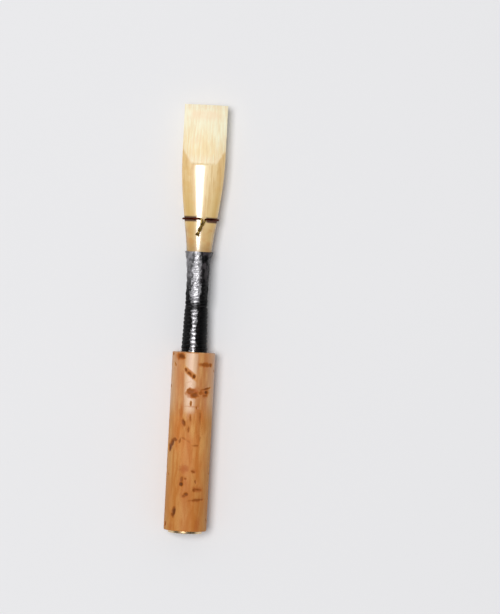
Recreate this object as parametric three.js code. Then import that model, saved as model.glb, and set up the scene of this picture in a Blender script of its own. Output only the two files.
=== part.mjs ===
// An oboe reed: two cane blades tied with thread onto a corked brass tube, the staple.
//
// Lengths are in millimetres. The reed lies on its cork on the surface z = 0, with +Y from the cork
// to the blades' tip and +Z up through the upper blade. The origin is on the surface, under the
// middle of the reed's length. In the functions below, y is the distance from the staple's lower
// end, and x and z are measured from the reed's own axis.

import * as THREE from "three";

// Driving sizes: lengths along the reed

const staplePastCork = 0.4; // the staple's rim stands this far out of the cork
const corkLength = 29.3;
const bareTieLength = 7.9; // thread wound straight onto the staple, between the cork and the cane
const tailLength = 9.4; // cane that overlaps the staple, under the thread
const throatSetback = 0.8; // the thread stops this far short of the staple's upper end
const caneBeyondStaple = 23.4;
const wireFromThread = 5.3;
const scrapeLength = 9.9; // scraped cane, from the end of the bark to the tip
const shoulderRise = 2.1; // the bark reaches this much nearer to the tip at the blade's edges
const barkStep = 0.15; // length of the ramp from the bark down to the scraped cane
const tipBandLength = 1.3; // the thinnest cane, at the very tip
const flareLength = 15.5; // the blades widen over this length above the thread

// Driving sizes: the staple and its cork

const stapleMouthDiameter = 5.6;
const stapleWaistDiameter = 3.9; // where the cork ends and the tube starts to turn oval
const stapleTopWidth = 3.3;
const stapleTopHeight = 2.4;
const stapleWall = 0.35;
const corkOverMouth = 0.75; // the cork stands this far proud of the staple's mouth
const corkChamfer = 0.2;

// Driving sizes: the cane

const tailWidth = 3.7;
const tipWidth = 7.1;
const sideWall = 0.25; // from the hollow to the blade's side edge
const barkThickness = 0.55;
const tailThickness = 0.3; // the tails are thinned at their ends, so that the thread runs down smoothly
const tailBevelLength = 3;
const heartThickness = 0.43; // just above the bark
const tipBandThickness = 0.22; // where the tip band starts
const tipThickness = 0.1;
const edgeThickness = 0.16;
const tipEdgeThickness = 0.06;
const tipOpening = 0.86; // between the two blades, at the middle of the tip
const tipCornerGap = 0.28; // between the two blades, at the corners of the tip
const throatGap = 0.04; // between the blades' edges, where the thread ends

// Driving sizes: the thread and the wire

const threadDiameter = 0.22;
const threadPitch = 0.67;
const underlayWall = 0.06; // the lacquered first layer of thread, under the outer turns
const tieFlare = 0.22; // extra thread at the foot of the tie, against the cork
const tieFlareLength = 1.4;
const tailRampLength = 0.8; // the thread slopes down over this length, off the ends of the cane
const wireDiameter = 0.32;
const wireHookLength = 1.15; // the two strands run down this far before they are twisted together
const wireHookOffset = 0.35; // the twist starts this far beside the middle of the blade
const wireBendSpread = 0.45; // each strand turns down this far beside the start of the twist
const wireTwistReach = 1.6; // how far the twist runs down the blade
const wireTwistDrift = 1; // and how far it drifts sideways on the way
const wireTwistPitch = 1;

// Clearances

const glueGap = 0.04; // between pieces that are glued, soldered or tied together
const tailPlay = 0.06; // between the cane and the thread, room for the blades to close
const wireGap = 0.06; // between the wire and the widening blades

// Counts and shares

const sides = 24; // flat sides round the tube, the cork and each turn of thread
const bladeColumns = 12;
const threadSides = 6;
const wireSides = 8;
const wireRingSteps = 32;
const wireSteps = 108;
const flatScrapeShare = 0.5; // the scrape's lower edge is straight over this share of the width
const flareSteepness = 1.1;

// Places along the reed and the cork's diameter, worked out from the sizes

const corkTop = staplePastCork + corkLength;
const tailEnd = corkTop + bareTieLength;
const stapleTop = tailEnd + tailLength;
const throat = stapleTop - throatSetback;
const wirePlace = throat + wireFromThread;
const tip = stapleTop + caneBeyondStaple;
const barkEnd = tip - scrapeLength;
const tipBandStart = tip - tipBandLength;

const corkDiameter = stapleMouthDiameter + 2 * corkOverMouth;

const { lerp, clamp, smoothstep } = THREE.MathUtils;
const shareBetween = (y, from, to) => clamp((y - from) / (to - from), 0, 1);

// Surfaces made from rings of points

// Joins rings of equally many points into one closed surface. Without a cap, the rings run up the
// outside of a tube and back down its bore, so the last ring joins the first. A cap is the list of
// triangles, as numbers of a ring's points, that closes both ends.
function skin(rings, cap) {
  const count = rings[0].length;
  const faces = [];
  rings.forEach((_, r) => {
    if (cap && r === rings.length - 1) return;
    const here = r * count;
    const next = ((r + 1) % rings.length) * count;
    for (let i = 0; i < count; i++) {
      const j = (i + 1) % count;
      faces.push(here + i, here + j, next + i, here + j, next + j, next + i);
    }
  });
  if (cap) {
    const last = (rings.length - 1) * count;
    for (const [a, b, c] of cap) {
      faces.push(a, c, b, last + a, last + b, last + c);
    }
  }
  const points = rings.flat().flatMap((point) => point.toArray());
  const geometry = new THREE.BufferGeometry();
  geometry.setAttribute("position", new THREE.Float32BufferAttribute(points, 3));
  geometry.setIndex(faces);
  geometry.computeVertexNormals();
  return geometry;
}

// A round tube, closed at both ends, through a list of points. Each ring is turned from the one
// before it by no more than the bend between them, so the tube never twists.
function roundBar(path, radius, count) {
  const tangents = path.map((point, i) => {
    const before = path[Math.max(i - 1, 0)];
    const after = path[Math.min(i + 1, path.length - 1)];
    return after.clone().sub(before).normalize();
  });
  const across = new THREE.Vector3(0, 0, 1);
  const rings = path.map((point, i) => {
    across.addScaledVector(tangents[i], -across.dot(tangents[i])).normalize();
    const side = tangents[i].clone().cross(across);
    return Array.from({ length: count }, (_, k) => {
      const angle = (2 * Math.PI * k) / count;
      return point
        .clone()
        .addScaledVector(across, radius * Math.cos(angle))
        .addScaledVector(side, radius * Math.sin(angle));
    });
  });
  const fan = Array.from({ length: count - 2 }, (_, k) => [0, k + 1, k + 2]);
  return skin(rings, fan);
}

// Directions round the reed, half a facet off the top, so that flat sides face down and sideways.
const facetTurn = (2 * Math.PI) / sides;
const corners = Array.from({ length: sides }, (_, i) => (i + 1 / 2) * facetTurn);

// The staple

// Half the staple's outer width and height at y: a cone up to the cork's end, and from there it
// turns oval towards its top.
function stapleHalves(y) {
  const round = lerp(stapleMouthDiameter, stapleWaistDiameter, shareBetween(y, 0, corkTop)) / 2;
  const oval = shareBetween(y, corkTop, stapleTop);
  return {
    x: lerp(round, stapleTopWidth / 2, oval),
    z: lerp(round, stapleTopHeight / 2, oval),
  };
}

function stapleRing(y, inset = 0) {
  const half = stapleHalves(y);
  return corners.map(
    (angle) =>
      new THREE.Vector3((half.x - inset) * Math.sin(angle), y, (half.z - inset) * Math.cos(angle)),
  );
}

function stapleShape() {
  const places = [0, corkTop, tailEnd, stapleTop];
  const outside = places.map((y) => stapleRing(y));
  const bore = places.map((y) => stapleRing(y, stapleWall)).reverse();
  return skin([...outside, ...bore]);
}

// The cork sleeve, turned about the staple's axis

function corkShape() {
  const outer = corkDiameter / 2;
  const foot = stapleHalves(staplePastCork).x + glueGap;
  const head = stapleHalves(corkTop).x + glueGap;
  const profile = [
    [foot, 0],
    [outer - corkChamfer, 0],
    [outer, corkChamfer],
    [outer, corkLength - corkChamfer],
    [outer - corkChamfer, corkLength],
    [head, corkLength],
    [foot, 0],
  ];
  const points = profile.map(([x, y]) => new THREE.Vector2(x, y));
  return new THREE.LatheGeometry(points, sides, facetTurn / 2);
}

// The cane blades. Both are the same piece: the lower one is the upper one turned half round.

const throatHalfWidth = stapleHalves(throat).x + glueGap + sideWall;

function bladeHalfWidth(y) {
  if (y <= throat) {
    return lerp(tailWidth / 2, throatHalfWidth, shareBetween(y, tailEnd, throat));
  }
  const quarterTurn = (Math.PI / 2) * shareBetween(y, throat, throat + flareLength);
  return lerp(throatHalfWidth, tipWidth / 2, Math.sin(quarterTurn) ** flareSteepness);
}

// Half the hollow's width and its height over the plane where the blades meet.
function hollowHalves(y) {
  const staple = stapleHalves(y);
  return {
    x: y <= throat ? staple.x + glueGap : bladeHalfWidth(y) - sideWall,
    z: lerp(staple.z + glueGap, tipOpening / 2, shareBetween(y, stapleTop, tip)),
  };
}

// The blade's section at y. Near the staple it is part of an oval. Towards the tip it flattens to a
// shallow arch, and its edges draw a little apart from the other blade's.
function bladeSection(y) {
  const hollow = hollowHalves(y);
  const outerHalf = Math.max(hollow.x + sideWall, bladeHalfWidth(y));
  return {
    hollow,
    outerHalf,
    reach: Math.asin(bladeHalfWidth(y) / outerHalf),
    edge: lerp(throatGap, tipCornerGap, shareBetween(y, throat, tip)) / 2,
    rim: lerp(edgeThickness, tipEdgeThickness, shareBetween(y, barkEnd, tip)),
    flatness: 1 + shareBetween(y, wirePlace, tip),
  };
}

function barkThicknessAt(y) {
  return lerp(tailThickness, barkThickness, shareBetween(y, tailEnd, tailEnd + tailBevelLength));
}

function scrapedThicknessAt(y) {
  const lay = lerp(heartThickness, tipBandThickness, shareBetween(y, barkEnd, tipBandStart));
  return lerp(lay, tipThickness, shareBetween(y, tipBandStart, tip));
}

// Points on the two faces of the upper blade. column runs from -1 at one edge to 1 at the other.
function outerFacePoint(column, y, thickness) {
  const section = bladeSection(y);
  const angle = column * section.reach;
  const foot = section.edge + section.rim;
  const arch = Math.cos(angle) ** section.flatness;
  const top = section.hollow.z + thickness;
  return new THREE.Vector3(section.outerHalf * Math.sin(angle), y, lerp(foot, top, arch));
}

function innerFacePoint(column, y) {
  const section = bladeSection(y);
  const angle = column * section.reach;
  const arch = Math.cos(angle) ** section.flatness;
  return new THREE.Vector3(
    section.hollow.x * Math.sin(angle),
    y,
    lerp(section.edge, section.hollow.z, arch),
  );
}

const columns = Array.from({ length: bladeColumns + 1 }, (_, i) => (2 * i) / bladeColumns - 1);

// One ring of the blade: the outer face from edge to edge, then the inner face back. At the end of
// the bark the outer face's points follow the scrape's U-shaped lower edge.
function bladeRing(y, thicknessAt, followsScrape) {
  const outer = columns.map((column) => {
    const across = Math.abs(Math.sin((column * Math.PI) / 2));
    const rise = followsScrape ? shoulderRise * smoothstep(across, flatScrapeShare, 1) : 0;
    return outerFacePoint(column, y + rise, thicknessAt(y + rise));
  });
  const inner = columns.map((column) => innerFacePoint(column, y)).reverse();
  const cornerBeside = (column, innerPoint) =>
    outerFacePoint(column, y, thicknessAt(y)).setZ(innerPoint.z);
  return [
    ...outer,
    cornerBeside(1, inner[0]),
    ...inner,
    cornerBeside(-1, inner[bladeColumns]),
  ];
}

// The thin end of a blade, closed by a strip between its two faces and a triangle at each corner.
function bladeEndTriangles() {
  const rightCorner = bladeColumns + 1;
  const leftCorner = 2 * bladeColumns + 3;
  const inner = (i) => leftCorner - 1 - i;
  const strip = columns.slice(1).flatMap((_, i) => [
    [i, i + 1, inner(i + 1)],
    [i, inner(i + 1), inner(i)],
  ]);
  return [
    ...strip,
    [bladeColumns, rightCorner, inner(bladeColumns)],
    [inner(0), leftCorner, 0],
  ];
}

function bladeShape() {
  const midTail = tailEnd + tailBevelLength;
  const midFlare = (stapleTop + wirePlace) / 2;
  const midBark = lerp(wirePlace, barkEnd, 1 / 3);
  const upperBark = lerp(wirePlace, barkEnd, 2 / 3);
  const scrapeFoot = barkEnd + barkStep;
  const shoulderTop = scrapeFoot + shoulderRise + barkStep;
  const lowerLay = lerp(shoulderTop, tipBandStart, 1 / 2);
  const rings = [
    bladeRing(tailEnd, barkThicknessAt),
    bladeRing(midTail, barkThicknessAt),
    bladeRing(lerp(midTail, throat, 1 / 2), barkThicknessAt),
    bladeRing(throat, barkThicknessAt),
    bladeRing(stapleTop, barkThicknessAt),
    bladeRing(midFlare, barkThicknessAt),
    bladeRing(wirePlace, barkThicknessAt),
    bladeRing(midBark, barkThicknessAt),
    bladeRing(upperBark, barkThicknessAt),
    bladeRing(barkEnd, barkThicknessAt, true),
    bladeRing(scrapeFoot, scrapedThicknessAt, true),
    bladeRing(shoulderTop, scrapedThicknessAt),
    bladeRing(lowerLay, scrapedThicknessAt),
    bladeRing(tipBandStart, scrapedThicknessAt),
    bladeRing(tip, scrapedThicknessAt),
  ];
  return skin(rings, bladeEndTriangles());
}

// Thread and wire are pulled tight, so they lie on the convex outline of what they bind. This is the
// corner, at the given angle, of a many-sided ring round it. The ring's two sides that meet there
// lie square to the directions half a step before and after, and stand off by the offset.
function tightPoint(bound, angle, halfStep, offset) {
  const reach = (direction) => {
    const outwards = new THREE.Vector3(Math.sin(direction), 0, Math.cos(direction));
    return Math.max(...bound.map((point) => point.dot(outwards))) + offset;
  };
  const before = reach(angle - halfStep);
  const after = reach(angle + halfStep);
  const out = (before + after) / (2 * Math.cos(halfStep));
  const aside = (after - before) / (2 * Math.sin(halfStep));
  return new THREE.Vector3(
    out * Math.sin(angle) + aside * Math.cos(angle),
    bound[0].y,
    out * Math.cos(angle) - aside * Math.sin(angle),
  );
}

// The outer faces and edges of both blades at y.
function canePoints(y) {
  const upper = columns.map((column) => outerFacePoint(column, y, barkThicknessAt(y)));
  const lower = upper.map((point) => new THREE.Vector3(-point.x, point.y, -point.z));
  return [...upper, ...lower];
}

// A point of the tie, offset out from what the thread holds. Below the cane the thread lies on the
// staple, above its ends on the cane, and in between it slopes.
function tiePoint(y, angle, offset) {
  const onStaple = tightPoint(stapleRing(y), angle, facetTurn / 2, offset);
  const rampStart = tailEnd - tailRampLength;
  if (y <= rampStart) return onStaple;
  const caneAt = Math.max(y, tailEnd);
  const bound = [...stapleRing(caneAt), ...canePoints(caneAt)];
  const onCane = tightPoint(bound, angle, facetTurn / 2, offset);
  return onStaple.lerp(onCane, shareBetween(y, rampStart, tailEnd)).setY(y);
}

// How far the outside of the underlay stands off what the thread holds.
function underlayOffset(y) {
  const flare = tieFlare * (1 - shareBetween(y, corkTop, corkTop + tieFlareLength));
  return tailPlay + underlayWall + flare;
}

const tieFoot = corkTop + glueGap;

function underlayShape() {
  const rampStart = tailEnd - tailRampLength;
  const bevelEnd = tailEnd + tailBevelLength;
  const midCane = lerp(bevelEnd, throat, 1 / 2);
  const places = [tieFoot, corkTop + tieFlareLength, rampStart, tailEnd, bevelEnd, midCane, throat];
  const ring = (y, offset) => corners.map((angle) => tiePoint(y, angle, offset));
  const outside = places.map((y) => ring(y, underlayOffset(y)));
  const inside = places.map((y) => ring(y, tailPlay)).reverse();
  return skin([...outside, ...inside]);
}

// The outer turns of thread: one unbroken helix over the underlay, which ends straight.
function threadPath() {
  const radius = threadDiameter / 2;
  const first = tieFoot + glueGap + radius;
  const last = throat - radius;
  const turns = Math.floor((last - first) / threadPitch);
  const steps = turns * sides;
  const path = Array.from({ length: steps + 1 }, (_, i) => {
    const y = lerp(first, last, i / steps);
    const angle = corners[i % sides];
    return tiePoint(y, angle, underlayOffset(y) + glueGap + radius);
  });
  const straightPast = (end, before) =>
    end.clone().sub(before).setLength(threadDiameter).add(end);
  path.unshift(straightPast(path[0], path[1]));
  path.push(straightPast(path[path.length - 1], path[path.length - 2]));
  return path;
}

// The least gap between one turn of a winding and the next, measured between the path's points.
function leastGap(path, diameter) {
  const halfTurn = sides / 2;
  let least = Infinity;
  path.forEach((point, i) => {
    for (const other of path.slice(i + halfTurn, i + 3 * halfTurn)) {
      least = Math.min(least, point.distanceTo(other));
    }
  });
  return least - diameter;
}

// The wire: one strand round both blades, with its two ends hooked down and twisted together on
// the upper blade.

function heightOverBlade(x, y) {
  const column = Math.asin(x / bladeHalfWidth(y)) / (Math.PI / 2);
  return outerFacePoint(column, y, barkThicknessAt(y)).z;
}

function wirePath() {
  const radius = wireDiameter / 2;
  const strandOffset = radius + glueGap / 2; // from the twist's middle line to each strand's
  const bound = canePoints(wirePlace);
  const ringStep = (2 * Math.PI) / wireRingSteps;
  const round = Array.from({ length: wireRingSteps - 3 }, (_, i) =>
    tightPoint(bound, (i + 2) * ringStep, ringStep / 2, wireGap + radius),
  );
  const onTop = (x) =>
    new THREE.Vector3(x, wirePlace, heightOverBlade(x, wirePlace) + wireGap + radius);
  const leftBend = wireHookOffset - wireBendSpread;
  const midLeft = lerp(round[round.length - 1].x, leftBend, 1 / 2);
  const ring = [onTop(wireHookOffset + wireBendSpread), ...round, onTop(midLeft), onTop(leftBend)];

  const hookFoot = new THREE.Vector2(wireHookOffset, wirePlace - wireHookLength);
  const twistEnd = hookFoot.clone().sub(new THREE.Vector2(wireTwistDrift, wireTwistReach));
  const twistLength = hookFoot.distanceTo(twistEnd);
  const down = twistEnd.clone().sub(hookFoot).normalize();
  const sideways = new THREE.Vector3(-down.y, down.x, 0);
  const upwards = new THREE.Vector3(0, 0, 1);
  const twistTurns = twistLength / wireTwistPitch;
  const pointsPerTurn = 8;
  const twistSteps = Math.ceil(twistTurns * pointsPerTurn);
  const strand = (sign) =>
    Array.from({ length: twistSteps + 1 }, (_, i) => {
      const share = i / twistSteps;
      const middle = hookFoot.clone().lerp(twistEnd, share);
      const z = heightOverBlade(middle.x, middle.y) + wireGap + radius + strandOffset;
      const turn = 2 * Math.PI * twistTurns * share;
      return new THREE.Vector3(middle.x, middle.y, z)
        .addScaledVector(sideways, sign * strandOffset * Math.cos(turn))
        .addScaledVector(upwards, sign * strandOffset * Math.sin(turn));
    });

  const through = [...strand(1).reverse(), ...ring, ...strand(-1)];
  return new THREE.CatmullRomCurve3(through, false, "centripetal").getSpacedPoints(wireSteps);
}

// Finishes

const brass = new THREE.MeshStandardMaterial({ color: 0xc9a860, metalness: 1, roughness: 0.32 });
const cork = new THREE.MeshStandardMaterial({ color: 0xd38b46, metalness: 0, roughness: 0.55 });
const cane = new THREE.MeshStandardMaterial({ color: 0xe6c78c, metalness: 0, roughness: 0.4 });
const thread = new THREE.MeshStandardMaterial({ color: 0x17151a, metalness: 0, roughness: 0.25 });
const wire = new THREE.MeshStandardMaterial({ color: 0x8f6a34, metalness: 1, roughness: 0.4 });

function piece(name, geometry, material) {
  const mesh = new THREE.Mesh(geometry, material);
  mesh.name = name;
  return mesh;
}

// Assembly. The reed's group lies with the lowest flat of the cork on the surface.

const turnPath = threadPath();
console.log("least gap between turns of thread, mm:", leastGap(turnPath, threadDiameter).toFixed(3));

const reed = new THREE.Group();
reed.position.set(0, -tip / 2, (corkDiameter / 2) * Math.cos(facetTurn / 2));

reed.add(piece("staple_tube", stapleShape(), brass));

const sleeve = piece("cork_sleeve", corkShape(), cork);
sleeve.position.y = staplePastCork;
reed.add(sleeve);

reed.add(piece("upper_blade", bladeShape(), cane));

const lowerBlade = piece("lower_blade", bladeShape(), cane);
lowerBlade.rotation.y = Math.PI;
reed.add(lowerBlade);

reed.add(piece("thread_underlay", underlayShape(), thread));
reed.add(piece("thread_winding", roundBar(turnPath, threadDiameter / 2, threadSides), thread));
reed.add(piece("blade_wire", roundBar(wirePath(), wireDiameter / 2, wireSides), wire));

const part = new THREE.Group();
part.add(reed);

export default part;
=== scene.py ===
# %% [markdown]
# An oboe reed is two blades of cane, tied with thread onto a tube of metal, the staple. The staple
# sits in a sleeve of cork that plugs into the oboe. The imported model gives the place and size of
# each piece, and this lesson models the same pieces finely enough to look real: scraped cane,
# lacquered thread, twisted wire and pitted cork.

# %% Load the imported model
import math
from collections import namedtuple

import bmesh
import bpy
import numpy as np
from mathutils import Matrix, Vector, noise


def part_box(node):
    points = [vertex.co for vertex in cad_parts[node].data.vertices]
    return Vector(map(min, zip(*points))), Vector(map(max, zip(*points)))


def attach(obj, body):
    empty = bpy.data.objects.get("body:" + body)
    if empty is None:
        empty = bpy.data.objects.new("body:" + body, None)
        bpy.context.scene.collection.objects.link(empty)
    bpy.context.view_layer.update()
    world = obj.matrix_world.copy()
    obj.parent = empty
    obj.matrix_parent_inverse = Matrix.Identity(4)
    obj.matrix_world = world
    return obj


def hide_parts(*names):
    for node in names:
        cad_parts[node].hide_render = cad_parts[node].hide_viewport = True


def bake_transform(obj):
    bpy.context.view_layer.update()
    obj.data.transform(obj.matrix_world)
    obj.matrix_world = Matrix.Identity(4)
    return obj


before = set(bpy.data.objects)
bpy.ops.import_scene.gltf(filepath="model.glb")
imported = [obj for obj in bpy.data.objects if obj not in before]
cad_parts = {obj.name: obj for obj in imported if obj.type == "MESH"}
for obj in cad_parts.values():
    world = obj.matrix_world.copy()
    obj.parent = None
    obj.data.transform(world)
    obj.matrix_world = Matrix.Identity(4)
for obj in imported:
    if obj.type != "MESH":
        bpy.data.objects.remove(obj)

scene = bpy.context.scene
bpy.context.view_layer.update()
mm = 0.001
print("pieces of the packed model:", sorted(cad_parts))

# %% [markdown]
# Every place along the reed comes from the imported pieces' own boxes, so the fine pieces land on the
# plain ones. The reed lies along Y, with its tip towards +Y and its axis at a constant height.

# %% Places from the frame
staple_low, staple_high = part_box("staple_tube")
cork_low, cork_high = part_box("cork_sleeve")
blade_low, blade_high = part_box("upper_blade")
tie_low, tie_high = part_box("thread_underlay")
_, wire_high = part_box("blade_wire")

AXIS_HEIGHT = (cork_low.z + cork_high.z) / 2
STAPLE_FOOT, STAPLE_TOP = staple_low.y, staple_high.y
CORK_FOOT, CORK_TOP = cork_low.y, cork_high.y
TAIL_END, TIP = blade_low.y, blade_high.y
TIE_FOOT, THROAT = tie_low.y, tie_high.y
WIRE_RADIUS = 0.165 * mm
WIRE_PLACE = wire_high.y - WIRE_RADIUS
print(f"axis {AXIS_HEIGHT / mm:.2f} mm up, reed {(TIP - STAPLE_FOOT) / mm:.1f} mm long")

# %% [markdown]
# The camera looks straight down, as the photograph does. Two points of the reed in the photograph,
# the middle of the tip and the middle of the cork's foot, give the scale, the lean and the place of
# the picture. A long lens keeps the sides of the reed out of sight.

# %% Camera
PHOTO_WIDTH, PHOTO_HEIGHT = 500, 614
TIP_PIXEL = (206.7, 105.0)
CORK_FOOT_PIXEL = (184.9, 530.0)
CAMERA_DISTANCE = 450 * mm
SENSOR = 36

run_right = TIP_PIXEL[0] - CORK_FOOT_PIXEL[0]
run_up = CORK_FOOT_PIXEL[1] - TIP_PIXEL[1]
pixels_per_metre = math.hypot(run_right, run_up) / (TIP - CORK_FOOT)
lean = math.atan2(run_right, run_up)
picture_right = Vector((math.cos(lean), math.sin(lean), 0))
picture_up = Vector((-math.sin(lean), math.cos(lean), 0))
from_tip_right = (PHOTO_WIDTH / 2 - TIP_PIXEL[0]) / pixels_per_metre
from_tip_down = (PHOTO_HEIGHT / 2 - TIP_PIXEL[1]) / pixels_per_metre

camera = bpy.data.objects.new("camera", bpy.data.cameras.new("camera"))
scene.collection.objects.link(camera)
camera.location = (
    Vector((0, TIP, AXIS_HEIGHT + CAMERA_DISTANCE))
    + picture_right * from_tip_right
    - picture_up * from_tip_down
)
camera.rotation_euler = (0, 0, lean)
camera.data.sensor_width = SENSOR
camera.data.lens = SENSOR * CAMERA_DISTANCE * pixels_per_metre / PHOTO_HEIGHT
camera.data.clip_start = CAMERA_DISTANCE / 100
scene.camera = camera
print(f"{pixels_per_metre * mm:.2f} pixels to the millimetre, lean {math.degrees(lean):.1f} degrees")

# %% [markdown]
# A pale floor and one soft lamp above it stand in for a studio. The lamp is a little to the left,
# so that its reflection runs as a bright strip down the glossy pieces, left of their middle. The
# world fills the shadows. Together they light a surface so that its colour renders as written.

# %% Light and floor
FLOOR_SIZE = 4.0
LAMP_PLACE = Vector((-208 * mm, 64 * mm, 1200 * mm))
LAMP_SIZE = 450 * mm
LAMP_POWER = 10.2
FILL_STRENGTH = 0.3

scene.view_settings.view_transform = "Standard"
lamp = bpy.data.objects.new("lamp", bpy.data.lights.new("lamp", "AREA"))
scene.collection.objects.link(lamp)
lamp.data.shape = "RECTANGLE"
lamp.data.size = lamp.data.size_y = LAMP_SIZE
lamp.data.energy = LAMP_POWER
lamp.location = LAMP_PLACE
lamp.rotation_euler = (Vector((0, 0, AXIS_HEIGHT)) - LAMP_PLACE).to_track_quat("-Z", "Y").to_euler()

# %% [markdown]
# A few helpers serve the whole script. An operator works on all that is selected, so each new
# piece starts from an empty selection. A finished piece has its place in its mesh, its object at the
# origin, and every face turned outwards.

# %% Helpers for pieces
CORNER_ANGLE = math.radians(50)


def select_only(*objects):
    if bpy.context.object and bpy.context.object.mode != "OBJECT":
        bpy.ops.object.mode_set(mode="OBJECT")
    bpy.ops.object.select_all(action="DESELECT")
    for obj in objects:
        obj.select_set(True)
        bpy.context.view_layer.objects.active = obj


def name_new(name):
    obj = bpy.context.object
    obj.name = obj.data.name = name
    return obj


def settle(obj):
    """Applies the object's place, turn and modifiers to its mesh."""
    select_only(obj)
    bpy.ops.object.transform_apply(location=True, rotation=True, scale=True)
    for modifier in list(obj.modifiers):
        bpy.ops.object.modifier_apply(modifier=modifier.name)
    return obj


def edit_edges(obj):
    """Opens the piece for edits on its edges, with none of them selected."""
    select_only(obj)
    bpy.ops.object.mode_set(mode="EDIT")
    bpy.ops.mesh.select_mode(type="EDGE")
    bpy.ops.mesh.select_all(action="DESELECT")


def face_outwards(obj):
    select_only(obj)
    bpy.ops.object.mode_set(mode="EDIT")
    bpy.ops.mesh.select_all(action="SELECT")
    bpy.ops.mesh.normals_make_consistent(inside=False)
    bpy.ops.object.mode_set(mode="OBJECT")


def count_faces(obj):
    print(f"{obj.name}:", len(obj.data.polygons), "faces")


def add_wall(obj, thickness):
    """Gives an open surface a wall, inwards from it."""
    wall = obj.modifiers.new("wall", "SOLIDIFY")
    wall.thickness, wall.offset = thickness, -1


def round_corners(obj, width, segments):
    """Bevels every edge that turns by more than a corner's angle."""
    rounding = obj.modifiers.new("rounding", "BEVEL")
    rounding.width, rounding.segments, rounding.angle_limit = width, segments, CORNER_ANGLE


# %% [markdown]
# Shader maths reads best as arithmetic. A Socket wraps the output of a node, and the operators on
# it add Math nodes.

# %% Arithmetic for shaders
class Socket:
    def __init__(self, finish, output):
        self.finish, self.output = finish, output

    def maths(self, operation, first, second=0.0):
        return self.finish.node("ShaderNodeMath", {"operation": operation}, {0: first, 1: second})

    def __add__(self, other):
        return self.maths("ADD", self, other)

    def __sub__(self, other):
        return self.maths("SUBTRACT", self, other)

    def __rsub__(self, other):
        return self.maths("SUBTRACT", other, self)

    def __mul__(self, other):
        return self.maths("MULTIPLY", self, other)

    def __abs__(self):
        return self.maths("ABSOLUTE", self)

    __radd__ = __add__
    __rmul__ = __mul__

    def eased(self, low, high):
        """Rises smoothly from 0 at low to 1 at high."""
        settings = {"interpolation_type": "SMOOTHSTEP"}
        sockets = {"Value": self, "From Min": low, "From Max": high}
        return self.finish.node("ShaderNodeMapRange", settings, sockets)


# %% [markdown]
# A Finish is one material. Its node method makes every other kind of node, and the rest are short
# names for what the finishes need most. A colour is written as a picture's 0 to 255 values.

# %% A way to write materials
def linear(colour):
    if isinstance(colour, Socket):
        return colour
    return tuple((value / 255) ** 2.2 for value in colour) + (1.0,)


class Finish:
    def __init__(self, name, shown_by=None):
        self.material = shown_by or bpy.data.materials.new(name)
        self.material.use_nodes = True
        self.tree = self.material.node_tree
        self.tree.nodes.clear()
        self.place = self.node("ShaderNodeTexCoord", output="Object")

    def node(self, kind, settings=None, sockets=None, output=0):
        """Makes a node, sets or links its sockets, and returns one of its outputs."""
        made = self.tree.nodes.new(kind)
        for name, value in (settings or {}).items():
            setattr(made, name, value)
        for key, value in (sockets or {}).items():
            if isinstance(value, Socket):
                self.tree.links.new(value.output, made.inputs[key])
            else:
                made.inputs[key].default_value = value
        return Socket(self, made.outputs[output]) if made.outputs else None

    def along(self, axis):
        """The place on the piece along X, Y or Z, in millimetres."""
        split = self.node("ShaderNodeSeparateXYZ", sockets={"Vector": self.place}, output=axis)
        return split * (1 / mm)

    def past(self, place, start, end):
        """Rises from 0 to 1 between two distances in millimetres past a place along the reed."""
        return self.along(1).eased(place / mm + start, place / mm + end)

    def upper_half(self):
        """1 over the axis, 0 below it."""
        return self.along(2).eased(AXIS_HEIGHT / mm, AXIS_HEIGHT / mm + 0.6)

    def attribute(self, name):
        return self.node("ShaderNodeAttribute", {"attribute_name": name}, output="Fac")

    def grain(self, size, stretch=1, detail=3.0, shift=(0, 0, 0)):
        """Noise whose spots are about one size wide, drawn out along the reed by stretch."""
        scale = (1 / size, 1 / (size * stretch), 1 / size)
        placed = {"Vector": self.place, "Scale": scale, "Location": shift}
        vector = self.node("ShaderNodeMapping", sockets=placed)
        settings = {"Vector": vector, "Scale": 1.0, "Detail": detail}
        return self.node("ShaderNodeTexNoise", sockets=settings)

    def mix(self, share, first, second):
        """The first colour where share is 0, the second where it is 1."""
        sockets = {0: share, 6: linear(first), 7: linear(second)}
        return self.node("ShaderNodeMix", {"data_type": "RGBA"}, sockets, output=2)

    def layers(self, colour, *painted):
        """Lays colours over the first one, each as far as its own share says."""
        for share, over in painted:
            colour = self.mix(share, colour, over)
        return colour

    def bump(self, height, depth):
        """Raises the surface by up to depth where height is 1."""
        return self.node("ShaderNodeBump", sockets={"Height": height, "Distance": depth})

    def surface(self, *pieces, **inputs):
        """Ends the tree in one Principled shader, and puts the material on the pieces."""
        sockets = {name.replace("_", " "): value for name, value in inputs.items()}
        shader = self.node("ShaderNodeBsdfPrincipled", sockets=sockets)
        self.node("ShaderNodeOutputMaterial", sockets={"Surface": shader})
        for piece in pieces:
            piece.data.materials.append(self.material)
        print(f"{self.material.name}:", len(self.tree.nodes), "nodes")


# %% [markdown]
# Most of the reed is something long: a tube, a sleeve, a bar. Each starts as a cylinder laid along
# Y. Its long edges are then cut into many short rows, so that the rows can be shaped one by one.

# %% A cylinder along the reed
def cut_long_edges(obj, cuts, least_radius=0.0, shortest=0.0):
    """Cuts every edge along the reed that is this far from the axis and this long, or more."""
    edit_edges(obj)
    shape = bmesh.from_edit_mesh(obj.data)
    for edge in shape.edges:
        first, second = (vertex.co for vertex in edge.verts)
        middle = (first + second) / 2
        length = (first - second).length
        lengthwise = abs(first.y - second.y) > length / 2 and length >= shortest
        edge.select_set(lengthwise and math.hypot(middle.x, middle.z - AXIS_HEIGHT) >= least_radius)
    bpy.ops.mesh.subdivide(number_cuts=cuts)
    bpy.ops.object.mode_set(mode="OBJECT")


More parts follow.
